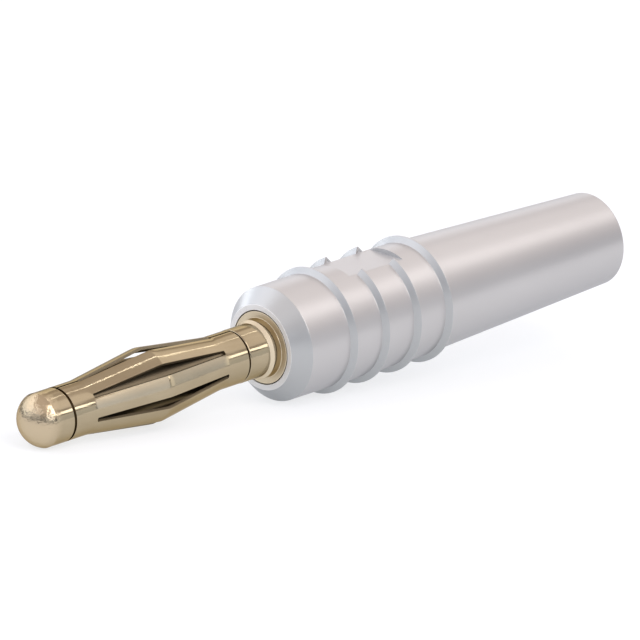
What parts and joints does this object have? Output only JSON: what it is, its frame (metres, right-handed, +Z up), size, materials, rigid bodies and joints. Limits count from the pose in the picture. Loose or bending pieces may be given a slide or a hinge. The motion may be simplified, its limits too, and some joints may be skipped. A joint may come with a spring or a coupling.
{
  "type": "banana plug",
  "caption": "Slim laboratory banana plug: gold-plated turned pin with a slotted lantern contact spring, in a white tapered sleeve with ring ribs and a bore for the wire.",
  "frame": {"origin": "on the ground under the middle of the plug, which lies as it comes to rest, on its nose and its first rib", "axes": "+X over the ground from the nose to the wire end, +Z up, the way the marking flat and the spring's seam face; the plug's axis rises 5.82 degrees from the nose to the wire end"},
  "size_m": [0.0288, 0.0048, 0.0056],
  "materials": {
    "sleeve": "satin white moulded plastic",
    "pin": "polished gold plating",
    "spring": "satin gold plating"
  },
  "bodies": {
    "root": {"insulating_sleeve": "sleeve", "plug_pin": "pin", "contact_spring": "spring"}
  },
  "joints": []
}
